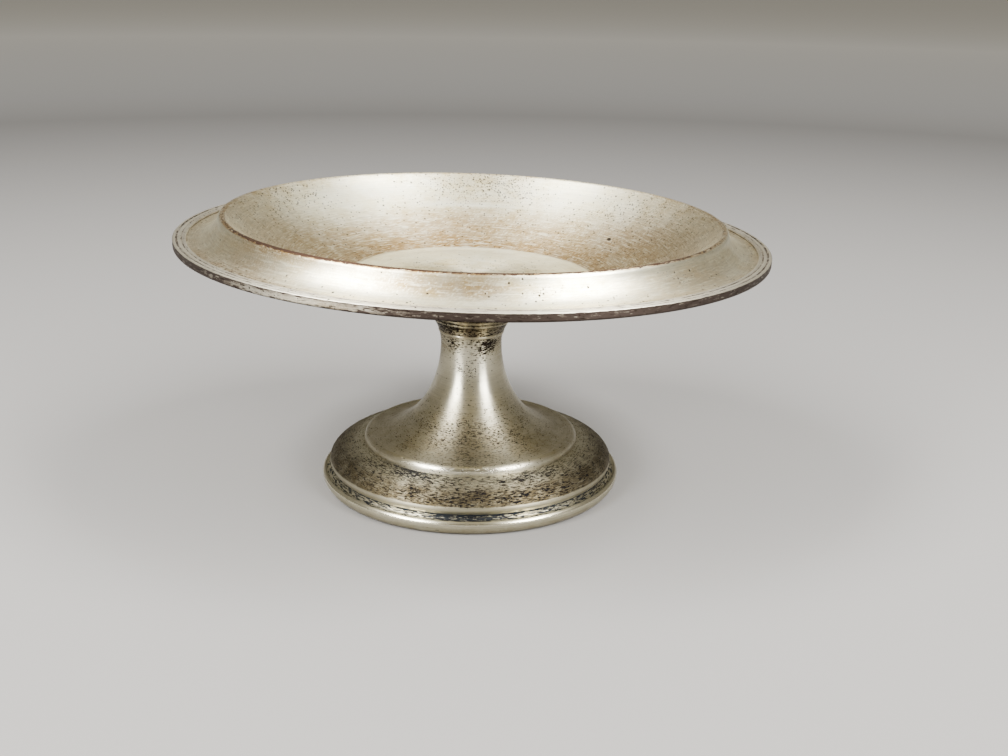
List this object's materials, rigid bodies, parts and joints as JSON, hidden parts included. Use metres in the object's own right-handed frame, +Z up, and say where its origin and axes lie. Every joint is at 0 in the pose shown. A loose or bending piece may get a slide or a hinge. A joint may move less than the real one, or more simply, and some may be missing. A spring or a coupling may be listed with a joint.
{
  "type": "footed compote bowl",
  "caption": "Shallow round silver-plated dish with a raised ridge and reeded rim on a trumpet stem and a domed, weighted foot, for serving fruit or sweets.",
  "frame": {"origin": "centre of the foot's standing face, on the table, on the stem's axis", "axes": "+Z up the stem to the dish; the dish leans a little down towards +X; the picture looks along +Y with +X to the right"},
  "size_m": [0.2031, 0.2032, 0.0991],
  "materials": {
    "spun_silver_plate": "worn silver plate, spun, speckled with tarnish",
    "tarnished_border": "silver plate border, dark with tarnish",
    "polished_border": "silver plate moulding, rubbed bright",
    "cement_fill": "poured cement filling",
    "steel_rod": "mill finish",
    "base_sheet": "dull plated sheet"
  },
  "bodies": {
    "root": {"dish": "spun_silver_plate", "rim_border": "tarnished_border", "neck_collar": "spun_silver_plate", "stem_trumpet": "spun_silver_plate", "foot_dome": "spun_silver_plate", "foot_ring": "polished_border", "weighting_fill": "cement_fill", "reinforcing_rod": "steel_rod", "base_plate": "base_sheet"}
  },
  "joints": []
}
